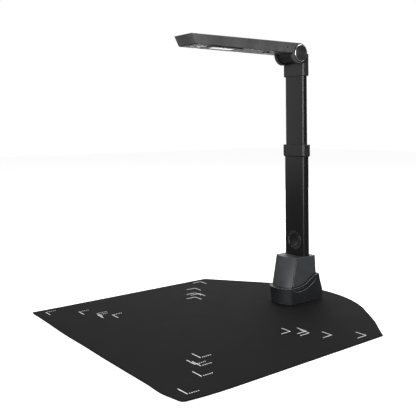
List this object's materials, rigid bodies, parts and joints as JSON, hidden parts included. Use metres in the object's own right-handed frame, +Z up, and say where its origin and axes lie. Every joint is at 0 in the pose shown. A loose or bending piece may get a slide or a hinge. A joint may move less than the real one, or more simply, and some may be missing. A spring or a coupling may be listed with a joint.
{
  "type": "book scanner",
  "caption": "Overhead book scanner: sliding flat-tube column on a weighted base, folding scan arm with lens, lamp and keys, over a flat work mat with printed corner marks.",
  "frame": {"origin": "on the surface that the mat lies on, under the middle of the mat's width and depth", "axes": "+Z up; the arm points along -Y; X is across, and X = 0 is the plane of symmetry; the arm's hinge axis lies along X"},
  "size_m": [0.45, 0.4999, 0.4717],
  "materials": {
    "mat_sheet": "fine matt calendered sheet",
    "mat_ink": "printed light grey ink",
    "black_plastic": "fine moulded grain",
    "column_finish": "satin black with glossy corners",
    "arm_plastic": "fine moulded grain",
    "cover_plastic": "fine moulded grain",
    "key_plastic": "satin",
    "key_ring": "satin",
    "bright_ring": "polished",
    "silver_ring": "fine turned",
    "steel": "plain",
    "cast_steel": "rough",
    "rubber": "matt",
    "felt": "felt",
    "nylon": "natural nylon",
    "circuit_board": "solder mask",
    "lead_jacket": "matt jacket",
    "camera_black": "matt",
    "lens_glass": "coated",
    "frame_black": "gloss",
    "diffuser": "opal",
    "led_white": "chip"
  },
  "bodies": {
    "stand": {"work_mat": "mat_sheet", "mat_print": "mat_ink", "base_skirt": "black_plastic", "base_tower": "black_plastic", "bottom_plate": "black_plastic", "base_screws": "steel", "column_screws": "steel", "rubber_feet": "rubber", "ballast_block": "cast_steel", "main_board": "circuit_board", "usb_socket": "steel", "lower_column": "column_finish", "foot_plug": "black_plastic", "column_collar": "black_plastic", "friction_ring": "felt", "guide_sleeve": "nylon", "key_bezel": "key_ring", "key_switch": "circuit_board", "base_lead": "lead_jacket", "coiled_lead": "lead_jacket"},
    "capture_key": {"capture_key": "key_plastic"},
    "mast": {"upper_mast": "column_finish", "mast_shoe": "nylon", "neck_housing": "black_plastic", "neck_cover": "black_plastic", "neck_screws": "steel", "friction_washers": "steel", "mast_lead": "lead_jacket"},
    "arm": {"arm_shell": "arm_plastic", "arm_cover": "cover_plastic", "arm_screws": "steel", "hinge_pins": "steel", "left_hinge_ring": "bright_ring", "right_hinge_ring": "bright_ring", "left_hinge_cap": "key_plastic", "right_hinge_cap": "key_plastic", "camera_board": "circuit_board", "camera_module": "camera_black", "lens_ring": "silver_ring", "lens_glass": "lens_glass", "led_frame": "frame_black", "led_diffuser": "diffuser", "led_board": "circuit_board", "led_chips": "led_white", "light_switch": "circuit_board", "microphone": "steel", "arm_lead": "lead_jacket"},
    "light_key": {"light_key": "key_plastic"}
  },
  "joints": [
    {"name": "mast_slide", "type": "slide", "parent": "stand", "child": "mast", "axis": [0, 0, 1], "range_m": [-0.116, 0], "deforming": ["coiled_lead"]},
    {"name": "arm_fold", "type": "hinge", "parent": "mast", "child": "arm", "pos_m": [0, 0.1574, 0.4532], "axis": [1, 0, 0], "range_deg": [-15, 90]},
    {"name": "capture_press", "type": "slide", "parent": "stand", "child": "capture_key", "axis": [0, 1, 0], "range_m": [0, 0.0008], "stiffness_N_per_m": 2500, "springref_m": -0.0004},
    {"name": "light_press", "type": "slide", "parent": "arm", "child": "light_key", "axis": [0, 0, 1], "range_m": [0, 0.0005], "stiffness_N_per_m": 2500, "springref_m": -0.0004}
  ]
}
